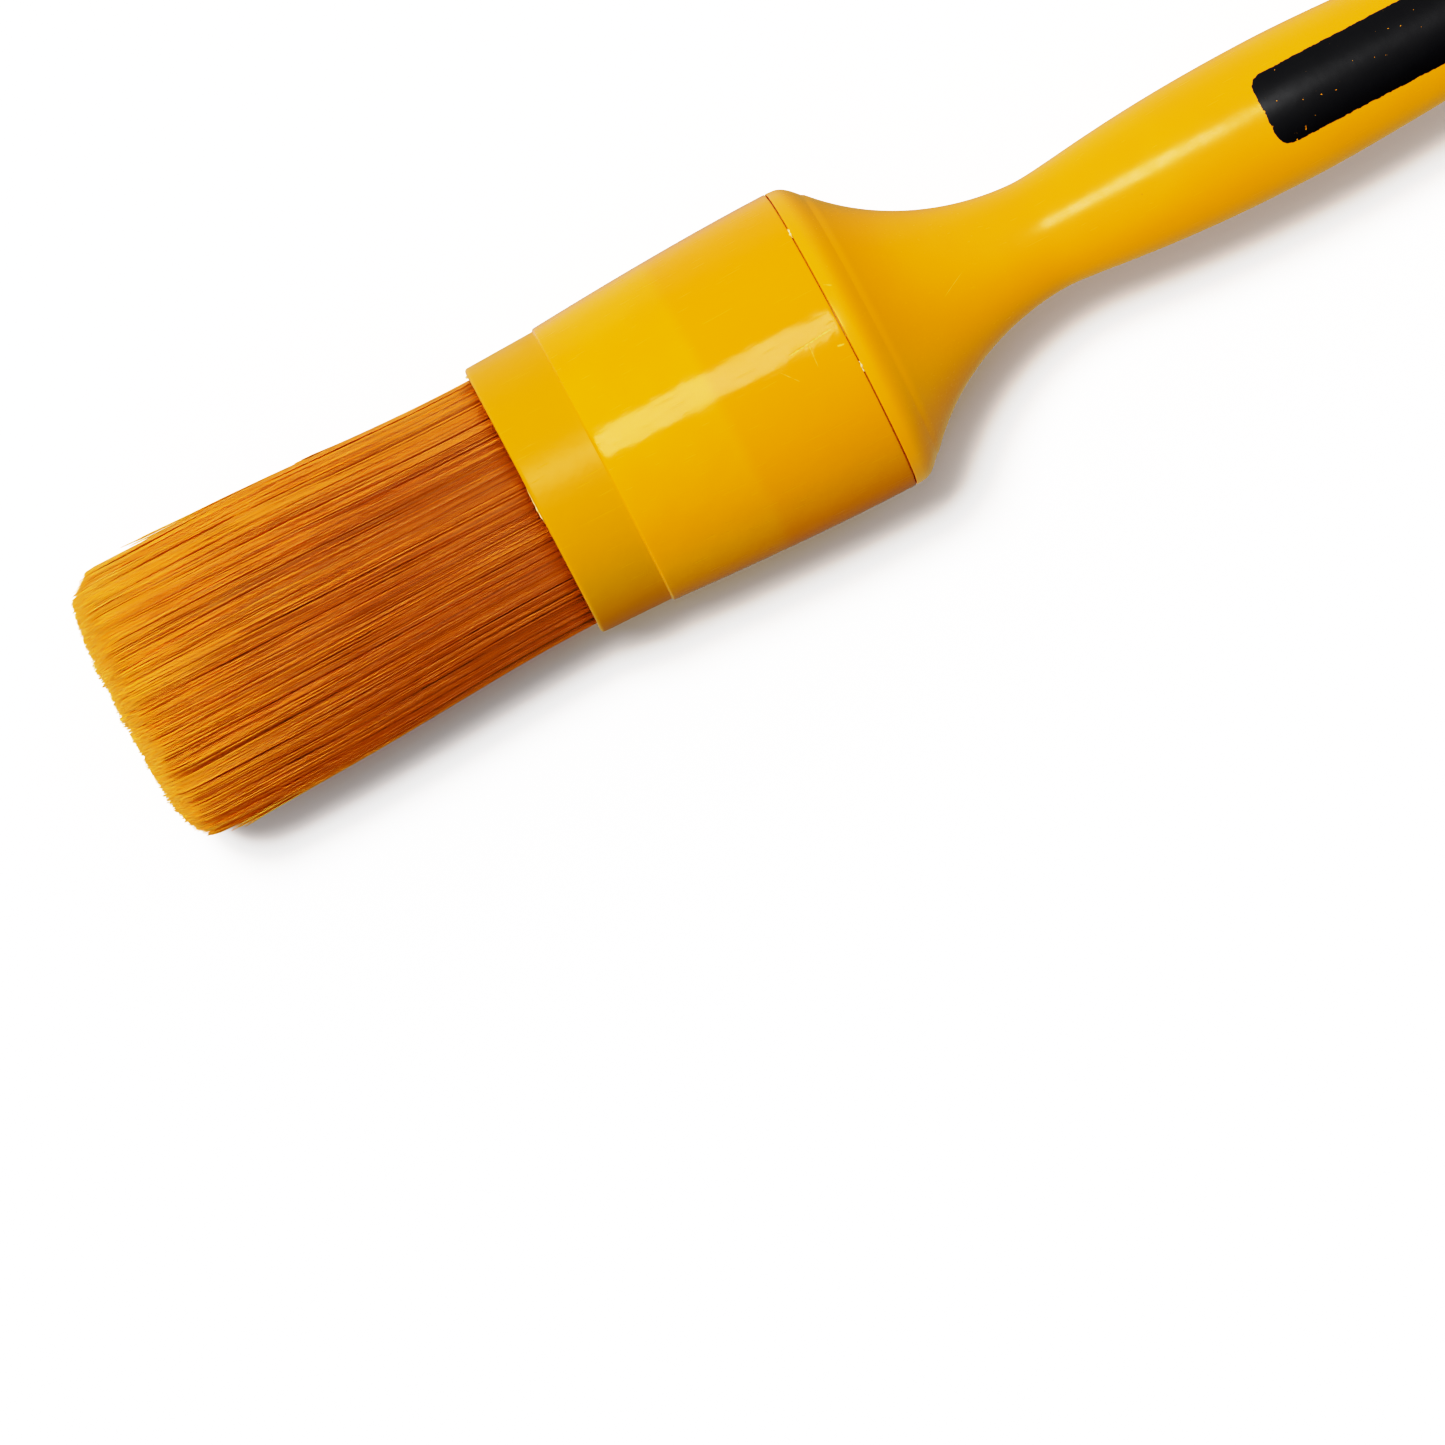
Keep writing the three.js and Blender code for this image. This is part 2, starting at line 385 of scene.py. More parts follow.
def blend_colour(tree, share, a, b, kind="MIX"):
    """Mixes colour b into colour a by a share."""
    return add(tree, "Mix", {0: share, 6: a, 7: b}, data_type="RGBA", blend_type=kind).outputs[2]


def noise(tree, place, scale, detail=2.0):
    return add(tree, "TexNoise", {"Vector": place, "Scale": scale, "Detail": detail}).outputs[0]


def bump(tree, height, distance, normal=None):
    inputs = {"Height": height, "Distance": distance * MM}
    if normal is not None:
        inputs["Normal"] = normal
    return add(tree, "Bump", inputs).outputs[0]


def material_start(name, roughness, level):
    material = bpy.data.materials.new(name)
    material.use_nodes = True
    tree = material.node_tree
    surface = tree.nodes["Principled BSDF"]
    surface.inputs["Roughness"].default_value = roughness
    surface.inputs["Specular IOR Level"].default_value = level
    return material, tree, surface


def brush_place(tree):
    """The place that keep_brush_place() stored."""
    stored = add(tree, "Attribute", attribute_name="brush_mm", attribute_type="GEOMETRY")
    return stored.outputs["Vector"]


# --- Yellow plastic -------------------------------------------------------------------------------

YELLOW = (0.92, 0.40, 0.001, 1)
YELLOW_DEEP = (0.88, 0.345, 0.001, 1)
YELLOW_DULL = (0.73, 0.335, 0.001, 1)
YELLOW_PALE = (0.95, 0.52, 0.03, 1)
YELLOW_WORN = (0.95, 0.66, 0.16, 1)
FERRULE_SPECK = (0.2, 0.09, 0.01, 1)
HANDLE_SPECK = (0.16, 0.07, 0.01, 1)
INK = (0.012, 0.012, 0.014, 1)
SPECK_SPACING = 9

# Scratches by the joint, as places (along, across) and half a width.
FERRULE_HAIRLINES = [
    ((-6.8, 0.4), (-0.6, 1.0), 0.11),
    ((-4.0, 0.6), (-4.2, -2.2), 0.05),
    ((-1.4, -1.0), (-0.5, -1.15), 0.12),
    ((-8.2, -0.6), (-6.6, -2.6), 0.04),
]
HANDLE_HAIRLINES = [((0.4, 5.6), (1.3, 5.05), 0.08), ((11.5, -1.6), (15.2, 0.3), 0.04)]

# The plain bar that stands in for the print on the handle.
PRINT_START = 52
PRINT_LENGTH = 60
PRINT_HALF_WIDTH = 4.2
PRINT_ROUNDING = 1.6


def clouded_yellow(tree, place, scale, deepest):
    """The plastic's yellow, a little deeper in soft clouds."""
    clouds = spread(tree, noise(tree, place, scale, 3.0), 0.35, 0.7, 0.0, deepest)
    return blend_colour(tree, clouds, YELLOW, YELLOW_DEEP)


def scratch_mask(tree, place, angle, fineness, threshold):
    """Sparse hairlines in one direction: noise that is stretched along them, above a threshold."""
    stretch = {"Vector": place, "Rotation": angle, "Scale": (0.12, fineness, fineness)}
    stretched = add(tree, "Mapping", stretch).outputs[0]
    return spread(tree, noise(tree, stretched, 1.0, 1.0), threshold, threshold + 0.03)


def speck_mask(tree, place, size, share):
    """Tiny specks, in a share of the cells that their spacing makes."""
    cells = add(tree, "TexVoronoi", {"Vector": place, "Scale": 1 / SPECK_SPACING}, feature="F1").outputs
    near = spread(tree, cells["Distance"], size * 0.6 / SPECK_SPACING, size / SPECK_SPACING, 1.0, 0.0)
    draw = add(tree, "SeparateColor", {0: cells["Color"]}).outputs[0]
    return times(tree, near, maths(tree, "LESS_THAN", draw, share))


def hairline_mask(tree, place, start, end, width):
    """One scratch between two places on the upper side, given as (along, across)."""
    length = math.dist(start, end)
    turn = -math.atan2(end[1] - start[1], end[0] - start[0])
    middle = ((start[0] + end[0]) / 2, (start[1] + end[1]) / 2, SHOULDER_RADIUS)
    offset = vector_maths(tree, "SUBTRACT", place, middle)
    lined_up = add(tree, "VectorRotate", {"Vector": offset, "Angle": turn}, rotation_type="Z_AXIS")
    parts = split(tree, vector_maths(tree, "ABSOLUTE", lined_up.outputs[0]))
    ragged = spread(tree, noise(tree, place, 2.5), 0.3, 0.7, 0.3, 1.5)
    across = maths(tree, "DIVIDE", parts[1], times(tree, ragged, width))
    inside = spread(tree, across, 0.4, 1.0, 1.0, 0.0)
    ends = spread(tree, parts[0], length * 0.35, length / 2, 1.0, 0.0)
    upper = maths(tree, "LESS_THAN", parts[2], SHOULDER_RADIUS)
    return times(tree, times(tree, inside, ends), upper)


def add_hairlines(tree, place, hairlines, strength, colour, scratches):
    """The colour with these scratches on it, and the mask of scratches with them in it."""
    for start, end, width in hairlines:
        hairline = hairline_mask(tree, place, start, end, width)
        colour = blend_colour(tree, times(tree, hairline, strength), colour, YELLOW_WORN)
        scratches = maths(tree, "MAXIMUM", scratches, hairline)
    return colour, scratches


def ferrule_material():
    material, tree, surface = material_start("glossy_yellow", 0.13, 0.2)
    place = brush_place(tree)
    along = split(tree, place)[0]
    colour = clouded_yellow(tree, place, 0.09, 0.35)
    # The wall looks a little deeper where the spigot backs it.
    backed = spread(tree, along, -SPIGOT_LENGTH - 1.8, -SPIGOT_LENGTH + 0.2, 0.0, 0.75)
    colour = blend_colour(tree, backed, colour, YELLOW_DEEP)
    # The front band is left duller by the mould than the barrel.
    band = spread(tree, along, BAND_END - 0.1, BAND_END + 0.1, 1.0, 0.0)
    colour = blend_colour(tree, times(tree, band, 0.8), colour, YELLOW_DULL)
    specks = speck_mask(tree, place, 0.12, 0.16)
    colour = blend_colour(tree, times(tree, specks, 0.6), colour, FERRULE_SPECK)
    lengthwise = scratch_mask(tree, place, (0, 0, 0.2), 5.0, 0.71)
    crosswise = scratch_mask(tree, place, (0.3, 0.2, 1.35), 4.0, 0.73)
    scratches = maths(tree, "MAXIMUM", lengthwise, crosswise)
    colour = blend_colour(tree, times(tree, scratches, 0.25), colour, YELLOW_PALE)
    colour, scratches = add_hairlines(tree, place, FERRULE_HAIRLINES, 0.6, colour, scratches)
    tree.links.new(colour, surface.inputs["Base Color"])
    smears = spread(tree, noise(tree, place, 0.25, 4.0), 0.45, 0.75, 0.105, 0.175)
    roughness = plus(tree, smears, times(tree, plus(tree, scratches, band), 0.18))
    tree.links.new(roughness, surface.inputs["Roughness"])
    normal = bump(tree, noise(tree, place, 0.35), 0.055)
    normal = bump(tree, noise(tree, place, 3.0), 0.003, normal)
    normal = bump(tree, times(tree, scratches, -1.0), 0.006, normal)
    tree.links.new(normal, surface.inputs["Normal"])
    return material


def print_mask(tree, place):
    """A plain printed bar with round corners, on the upper side of the handle."""
    half_length = PRINT_LENGTH / 2
    flat = vector_maths(tree, "MULTIPLY", place, (1, 1, 0))
    offset = vector_maths(tree, "SUBTRACT", flat, (PRINT_START + half_length, 0, 0))
    inner = (half_length - PRINT_ROUNDING, PRINT_HALF_WIDTH - PRINT_ROUNDING, 0)
    beyond = vector_maths(tree, "SUBTRACT", vector_maths(tree, "ABSOLUTE", offset), inner)
    distance = vector_maths(tree, "LENGTH", vector_maths(tree, "MAXIMUM", beyond), output=1)
    ragged = spread(tree, noise(tree, place, 1.6, 4.0), 0.2, 0.8, -0.07, 0.07)
    edge = plus(tree, distance, ragged)
    inked = spread(tree, edge, PRINT_ROUNDING - 0.04, PRINT_ROUNDING + 0.06, 1.0, 0.0)
    missed = spread(tree, noise(tree, place, 1.4, 3.0), 0.71, 0.74, 1.0, 0.0)
    upper = maths(tree, "GREATER_THAN", split(tree, place)[2], 0.0)
    return times(tree, times(tree, inked, missed), upper)


def handle_material():
    material, tree, surface = material_start("satin_yellow", 0.25, 0.3)
    place = brush_place(tree)
    colour = clouded_yellow(tree, place, 0.07, 0.4)
    specks = speck_mask(tree, place, 0.1, 0.14)
    colour = blend_colour(tree, times(tree, specks, 0.7), colour, HANDLE_SPECK)
    scratches = scratch_mask(tree, place, (0.1, 0.15, 0.3), 4.5, 0.72)
    colour = blend_colour(tree, times(tree, scratches, 0.2), colour, YELLOW_PALE)
    colour, scratches = add_hairlines(tree, place, HANDLE_HAIRLINES, 0.5, colour, scratches)
    ink = print_mask(tree, place)
    tree.links.new(blend_colour(tree, ink, colour, INK), surface.inputs["Base Color"])
    satin = spread(tree, noise(tree, place, 0.4, 4.0), 0.3, 0.7, 0.2, 0.27)
    printed = plus(tree, satin, times(tree, ink, 0.12))
    tree.links.new(plus(tree, printed, times(tree, scratches, 0.1)), surface.inputs["Roughness"])
    normal = bump(tree, noise(tree, place, 0.3), 0.035)
    normal = bump(tree, noise(tree, place, 1.9), 0.003, normal)
    normal = bump(tree, ink, 0.015, normal)
    tree.links.new(normal, surface.inputs["Normal"])
    return material


# --- Resin and glue -------------------------------------------------------------------------------

RESIN_DARK = (0.45, 0.2, 0.05, 1)
RESIN_PALE = (0.68, 0.4, 0.16, 1)
GLUE_AMBER = (0.92, 0.55, 0.15, 1)
GLUE_PALE = (0.96, 0.76, 0.46, 1)


def resin_material():
    material, tree, surface = material_start("amber_resin", 0.35, 0.5)
    # The plug is the CAD's own mesh, so its places are in metres.
    place = add(tree, "TexCoord").outputs["Object"]
    clouds = spread(tree, noise(tree, place, 0.5 / MM, 4.0), 0.3, 0.7)
    tree.links.new(blend_colour(tree, clouds, RESIN_DARK, RESIN_PALE), surface.inputs["Base Color"])
    tree.links.new(bump(tree, noise(tree, place, 1.2 / MM, 3.0), 0.15), surface.inputs["Normal"])
    return material


def glue_material():
    material, tree, surface = material_start("clear_glue", 0.25, 0.5)
    clouds = noise(tree, brush_place(tree), 2.5, 4.0)
    colour = blend_colour(tree, spread(tree, clouds, 0.3, 0.7), GLUE_AMBER, GLUE_PALE)
    tree.links.new(colour, surface.inputs["Base Color"])
    tree.links.new(bump(tree, clouds, 0.05), surface.inputs["Normal"])
    return material


# --- Filament material ----------------------------------------------------------------------------

FILAMENT_TONES = 128
# How bright the darkest filament is, next to the brightest.
DARKEST_TONE = 0.52
# A filament's colours lie up to this share of its length nearer its root or its tip.
TONE_SHIFT = 0.04
# Added to a filament's number to draw a second value for it.
SECOND_DRAW = 500.0
# Colours from root to tip, each with its share of the length. The paler, yellower tips are partly the
# filaments' own thinner ends and partly painted light, for the glow of light through their clear tips.
FILAMENT_RAMP = [
    (0.0, (0.78, 0.255, 0.03, 1)),
    (0.45, (0.84, 0.275, 0.03, 1)),
    (0.74, (0.96, 0.335, 0.03, 1)),
    (0.9, (1.0, 0.38, 0.03, 1)),
    (0.96, (1.0, 0.46, 0.045, 1)),
    (1.0, (1.0, 0.56, 0.1, 1)),
]
SHEEN_COLOUR = (1, 0.42, 0.04, 1)


def filament_ramp(tree, share):
    ramp = add(tree, "ValToRGB", {0: share})
    stops = ramp.color_ramp.elements
    # The ramp comes with a stop at each end.
    stops[0].color = FILAMENT_RAMP[0][1]
    stops[1].color = FILAMENT_RAMP[-1][1]
    for position, colour in FILAMENT_RAMP[1:-1]:
        stops.new(position).color = colour
    return ramp.outputs[0]


def random_value(tree, number):
    """A value from 0 to 1 that is always the same for the same number."""
    return add(tree, "TexWhiteNoise", {"W": number}, noise_dimensions="1D").outputs[0]


def filament_material():
    """Colour runs along each filament, and every column of the map is one filament's own tone."""
    material, tree, surface = material_start("filament", 0.33, 0.42)
    uv = split(tree, add(tree, "UVMap", uv_map="OFBake").outputs[0])
    column = maths(tree, "FLOOR", times(tree, uv[0], FILAMENT_TONES))
    shift_draw = random_value(tree, column)
    tone_draw = random_value(tree, plus(tree, column, SECOND_DRAW))
    shift = spread(tree, shift_draw, 0.0, 1.0, -TONE_SHIFT, TONE_SHIFT, smooth=False)
    share = maths(tree, "ADD", uv[1], shift, clamp=True)
    tone = spread(tree, maths(tree, "POWER", tone_draw, 0.5), 0.0, 1.0, DARKEST_TONE, 1.0, smooth=False)
    grey = add(tree, "CombineColor", {0: tone, 1: tone, 2: tone}).outputs[0]
    # Towards the tips the filaments become as light as each other.
    toned = spread(tree, share, 0.6, 0.95, 1.0, 0.1)
    colour = blend_colour(tree, toned, filament_ramp(tree, share), grey, "MULTIPLY")
    tree.links.new(colour, surface.inputs["Base Color"])
    # The clear plastic of each filament glows a little at its edges.
    surface.inputs["Sheen Weight"].default_value = 0.25
    surface.inputs["Sheen Roughness"].default_value = 0.5
    surface.inputs["Sheen Tint"].default_value = SHEEN_COLOUR
    return material


# --- Filaments ------------------------------------------------------------------------------------

CORE_FILAMENTS = 6200
SHELL_FILAMENTS = 5600
CORE_FILAMENT_RADIUS = 0.115
SHELL_FILAMENT_RADIUS = 0.078
SHELL_DEPTH = 1.5
CORE_STEPS = 6
SHELL_STEPS = 11
PIECES_PER_LAYER = 3
# The outermost filaments have their roots this far from the axis.
ROOT_REACH = BUNDLE_RADIUS - 0.12

# Filaments lie in clumps, which pull their own together by up to a share, more on the thin side.
CLUMPS = 420
CLUMP_STRAY = 0.35
CLUMP_PULL = 0.14
THIN_SIDE_PULL = 0.12
CLUMP_SHORT_BY = 0.45
CLUMP_LENGTH_SPREAD = 0.14
# How far roots stray, and how far clumps and single filaments drift sideways on the way to the tip.
ROOT_STRAY = 0.05
DRIFT = 0.26
# Each filament is wavy: the size of its waves, then for each wave its length and its share of the size.
WAVE_SIZE = 0.05
WAVES = ((46, 1.0), (21, 0.6))
# Lengths differ a little. Filaments at the rim are the most worn, so theirs differ most.
LENGTH_SPREAD = 0.1
SHORT_BY = 0.1
SHORT_AT_RIM = 0.28

# Painted light: the outermost filaments on the lit side are painted paler and more golden, like the tips,
# by up to this share of their length, for light that shines through them.
LIT_SIDE_PALING = 0.68
# Up to this share of the shell's filaments is missing on the side that the pair (across, up) points to.
THINNED = 0.45
THIN_SIDE = (-0.85, 0.53)

# The last cross-sections of a filament: their shares of its length and of its thickness.
TIP_SHARES = (0.94, 0.978, 1.0)
TIP_TAPER = (1.1, 1.0, 0.42)
# A filament held at the bundle's outline stands out by up to this much.
SOFT_OUTLINE = 0.25
# How much of a smooth step the drift of a filament follows, so that it still opens out at its tip.
DRIFT_EASE = 0.75

# Short locks and single filaments that have worked loose: degrees round the bundle, how many filaments,
# how far short of the others they end, how far proud they stand, their spread in degrees, and the share
# by which they have faded.
LOOSE_LOCKS = [
    (3, 8, 6.3, 1.1, 7, 0.9),
    (10, 6, 13, 0.4, 8, 0.4),
    (4, 5, 27, 7, 5, 0.5),
    (178, 14, 3.9, 1.0, 8, 0.9),
    (172, 6, 9.5, 0.6, 8, 0.4),
    (90, 12, 6, 0.1, 120, 0.1),
    (270, 10, 6, 0.1, 120, 0.1),
]
LOOSE_LENGTH_SPREAD = 0.8


def smoothstep(value):
    value = np.clip(value, 0, 1)
    return value * value * (3 - 2 * value)


def bundle_radius(along):
    fullness = smoothstep((-along - FULL_FROM) / (FULL_AT - FULL_FROM))
    taper = np.clip((TAPER_START - along) / (TAPER_START - TIPS), 0, 1.2) ** 1.5
    full = BUNDLE_RADIUS + (BUNDLE_FULL_RADIUS - BUNDLE_RADIUS) * fullness
    return full - (BUNDLE_FULL_RADIUS - TIP_EDGE_RADIUS) * taper


def thin_side(roots):
    """How thin the bundle has become at each of these places, from 0 to 1."""
    return smoothstep((roots @ THIN_SIDE / BUNDLE_RADIUS - 0.6) / 0.3)


def sunflower(count, radius):
    """Evenly spread points in a disc, from its middle outwards."""
    index = np.arange(count) + 0.5
    angle = index * math.pi * (3 - math.sqrt(5))
    distance = radius * np.sqrt(index / count)
    return np.stack([distance * np.cos(angle), distance * np.sin(angle)], -1)


def nearest(points, centres):
    """The number of the centre that each point is nearest to, worked out in blocks to save memory."""
    block = 1000
    found = np.empty(len(points), int)
    for start in range(0, len(points), block):
        offsets = points[start:start + block, None] - centres[None]
        found[start:start + block] = (offsets**2).sum(-1).argmin(1)
    return found


def filament_lines(rng, roots, centres, clump_facts):
    """The facts of each filament: place at the mouth, drift to the tip, length, waves and looks."""
    count = len(roots)
    clump = nearest(roots, centres)
    roots = roots + rng.normal(0, ROOT_STRAY, (count, 2))
    pull = clump_facts["pull"][clump, None] * (centres[clump] - roots)
    drift = clump_facts["drift"][clump] + rng.normal(0, DRIFT, (count, 2)) + pull
    rim_share = np.clip(np.linalg.norm(roots, axis=1) / BUNDLE_RADIUS, 0, 1)
    wear = SHORT_BY + SHORT_AT_RIM * rim_share**8
    uneven = rng.normal(0, LENGTH_SPREAD, count) - rng.exponential(wear, count)
    return {
        "root": roots,
        "drift": drift,
        "length": clump_facts["length"][clump] + uneven,
        "wave": rng.normal(0, WAVE_SIZE, (count, 2, len(WAVES))),
        "phase": rng.uniform(0, 2 * math.pi, (count, 2, len(WAVES))),
        "tone": rng.integers(0, FILAMENT_TONES, count),
        "turn": rng.uniform(0, 2 * math.pi, count),
        "proud": np.zeros(count),
        # Painted light: filaments on the lit side are moved towards the paler tip colours.
        "fade_and_lit_paling": LIT_SIDE_PALING * smoothstep((roots[:, 0] / BUNDLE_RADIUS - 0.4) / 0.55),
    }


def loose_lines(rng):
    """The facts of the filaments in the loose locks, as filament_lines() gives them."""
    lines = []
    for middle, count, short, proud, degrees, fade_and_lit_paling in LOOSE_LOCKS:
        angle = np.radians(middle + rng.uniform(-0.5, 0.5, count) * degrees)
        roots = ROOT_REACH * np.stack([np.cos(angle), np.sin(angle)], -1)
        still = {"pull": np.zeros(1), "drift": np.zeros((1, 2)), "length": np.full(1, -short)}
        line = filament_lines(rng, roots, roots[:1], still)
        line["length"] += rng.normal(0, LOOSE_LENGTH_SPREAD, count)
        line["proud"] = proud * rng.uniform(0.4, 1.0, count)
        line["fade_and_lit_paling"] = np.full(count, fade_and_lit_paling)
        lines.append(line)
    return {key: np.concatenate([line[key] for line in lines]) for key in lines[0]}


def filament_points(line, steps, radius):
    """Centre points of filaments, from root to tip, as (filament, step, xyz)."""
    root = line["root"]
    rim_share = np.clip(np.linalg.norm(root, axis=1) / ROOT_REACH, 0, 1.02)
    worn = WORN_BACK * smoothstep((root[:, 0] - WORN_FROM) / (BUNDLE_RADIUS - WORN_FROM))
    tips = TIPS - line["length"] + TIP_CUT_BACK * rim_share**TIP_ROUNDNESS + worn
    share = np.append(np.linspace(0, TIP_SHARES[0], steps)[:-1], TIP_SHARES)
    along = FILAMENT_ROOT + (tips[:, None] - FILAMENT_ROOT) * share
    # How free the filament is to leave its straight line: 0 in the ferrule, 1 at the tips.
    way_out = (-along - FERRULE_LENGTH) / (-TIPS - FERRULE_LENGTH)
    free = (smoothstep(DRIFT_EASE * way_out) / smoothstep(DRIFT_EASE))[..., None]
    widen = (bundle_radius(along) / BUNDLE_RADIUS)[..., None]
    across = root[:, None] * widen + line["drift"][:, None] * free
    for k, (wavelength, size) in enumerate(WAVES):
        angle = 2 * math.pi * along[..., None] / wavelength + line["phase"][:, None, :, k]
        across += size * line["wave"][:, None, :, k] * np.sin(angle) * np.minimum(1, 3 * free)
    proud = line["proud"][:, None] * np.clip(free[..., 0], 0, 1) ** 2.5
    # A filament that would leave the bundle is held at its outline, which keeps the sides neat.
    distance = np.linalg.norm(across, axis=2)
    over = np.maximum(0, distance - (bundle_radius(along) - radius + proud))
    held = distance - over + SOFT_OUTLINE * (1 - np.exp(-over / SOFT_OUTLINE)) + proud
    across *= (held / np.maximum(distance, 1e-6))[..., None]
    return np.concatenate([along[..., None], across], -1)


def tube_faces(count, rings):
    """The faces of that many three-sided tubes, as corners and as sizes: the sides, then the caps."""
    tube = np.arange(count) * rings * 3
    ring = tube[:, None, None] + (np.arange(rings - 1) * 3)[None, :, None]
    ahead = ring + 3
    side = np.arange(3)[None, None]
    beside = (side + 1) % 3
    quads = np.stack([ring + side, ahead + side, ahead + beside, ring + beside], -1).reshape(-1, 4)
    root_caps = tube[:, None] + np.array([0, 1, 2])
    tip_caps = (tube + (rings - 1) * 3)[:, None] + np.array([2, 1, 0])
    corners = np.concatenate([quads.ravel(), root_caps.ravel(), tip_caps.ravel()])
    sizes = np.concatenate([np.full(len(quads), 4), np.full(2 * count, 3)])
    return corners, sizes


def tube_map(centres, line):
    """The colour map of those faces: one column for each tone, with the length running up it."""
    count, rings = centres.shape[:2]
    share = (centres[..., 0] - FILAMENT_ROOT) / (TIPS - FILAMENT_ROOT)
    # Painted light on the lit side, and the loose locks' fading, move a filament's colours towards its
    # tip's.
    share += line["fade_and_lit_paling"][:, None] * (1 - share)
    u_left = np.broadcast_to(line["tone"][:, None, None] + np.arange(3) / 3, (count, rings - 1, 3))
    u_right = u_left + 1 / 3
    v_low = np.broadcast_to(share[:, :-1, None], u_left.shape)
    v_high = np.broadcast_to(share[:, 1:, None], u_left.shape)
    side_u = np.stack([u_left, u_left, u_right, u_right], -1).ravel()
    side_v = np.stack([v_low, v_high, v_high, v_low], -1).ravel()
    cap_u = np.repeat(np.tile(line["tone"], 2) + 0.5, 3)
    cap_v = np.repeat(np.concatenate([share[:, 0], share[:, -1]]), 3)
    u = np.concatenate([side_u, cap_u]) / FILAMENT_TONES
    v = np.concatenate([side_v, cap_v])
    return np.clip(np.stack([u, v], -1), 0.0005, 0.9995)


def tube_mesh(name, centres, radius, line):
    """Three-sided closed tubes along rows of centre points, tapered at the tip."""
    count, rings = centres.shape[:2]
    thickness = np.ones(rings)
    thickness[-len(TIP_TAPER):] = TIP_TAPER
    angle = line["turn"][:, None] + np.arange(3) * 2 * math.pi / 3
    ring = radius * np.stack([np.zeros_like(angle), np.cos(angle), np.sin(angle)], -1)
    points = centres[:, :, None] + ring[:, None] * thickness[None, :, None, None]
    placed = to_frame(points.reshape(-1, 3))
    # The filaments that the brush lies on are pressed level with the table.
    placed[:, 2] = np.maximum(placed[:, 2], 0)
    corners, sizes = tube_faces(count, rings)
    mesh = bpy.data.meshes.new(name)
    mesh.vertices.add(len(placed))
    mesh.vertices.foreach_set("co", placed.astype(np.float32).ravel())
    mesh.loops.add(len(corners))
    mesh.loops.foreach_set("vertex_index", corners.astype(np.int32))
    mesh.polygons.add(len(sizes))
    mesh.polygons.foreach_set("loop_start", (np.cumsum(sizes) - sizes).astype(np.int32))
    mesh.polygons.foreach_set("use_smooth", np.ones(len(sizes), bool))
    layer = mesh.uv_layers.new(name="OFBake")
    layer.data.foreach_set("uv", tube_map(centres, line).astype(np.float32).ravel())
    mesh.update(calc_edges=True)
    mesh.validate()
    return mesh


def filament_object(name, line, steps, radius, material):
    mesh = tube_mesh(name, filament_points(line, steps, radius), radius, line)
    return new_object(name, mesh, material)


def make_filaments(material):
    """A dense core, a finer shell round it that can be seen, and the loose locks."""
    rng = np.random.default_rng(SEED)
    centres = sunflower(CLUMPS, ROOT_REACH) + rng.normal(0, CLUMP_STRAY, (CLUMPS, 2))
    clump_facts = {
        "pull": rng.uniform(0.0, CLUMP_PULL, CLUMPS) + THIN_SIDE_PULL * thin_side(centres),
        "drift": rng.normal(0, DRIFT, (CLUMPS, 2)),
        "length": rng.normal(-CLUMP_SHORT_BY, CLUMP_LENGTH_SPREAD, CLUMPS),
    }
    core_roots = sunflower(CORE_FILAMENTS, ROOT_REACH - SHELL_DEPTH)
    share_of_area = 1 - (1 - SHELL_DEPTH / ROOT_REACH) ** 2
    shell_roots = sunflower(round(SHELL_FILAMENTS / share_of_area), ROOT_REACH)[-SHELL_FILAMENTS:]
    shell_roots = shell_roots[rng.random(SHELL_FILAMENTS) > THINNED * thin_side(shell_roots)]
    layers = [
        ("core", core_roots, CORE_STEPS, CORE_FILAMENT_RADIUS),
        ("shell", shell_roots, SHELL_STEPS, SHELL_FILAMENT_RADIUS),
    ]
    pieces = []
    for layer, roots, steps, radius in layers:
        line = filament_lines(rng, roots, centres, clump_facts)
        for number, block in enumerate(np.array_split(np.arange(len(roots)), PIECES_PER_LAYER), 1):
            name = f"filaments_{layer}_{number}"
            chosen = {key: value[block] for key, value in line.items()}
            pieces.append(filament_object(name, chosen, steps, radius, material))
    loose = loose_lines(rng)
    radius = SHELL_FILAMENT_RADIUS
    pieces.append(filament_object("filaments_loose", loose, SHELL_STEPS, radius, material))
    return pieces


# --- Dried glue -----------------------------------------------------------------------------------

GLUE_THICKNESS = 0.15
GLUE_STEP = 0.12
GLUE_SIDES = 10
# Where dried glue shows: the name, distance along the axis and from it, and degrees off the top.
GLUE_BEADS = [
    ("mouth_glue_1", (RIM + 0.05, 15.62), (-14, 8)),
    ("mouth_glue_2", (RIM - 0.05, 15.7), (73, 79)),
    ("joint_glue_1", (0, SHOULDER_RADIUS - 0.09), (41, 46.4)),
    ("joint_glue_2", (0, SHOULDER_RADIUS - 0.09), (-15.6, -11.2)),
]


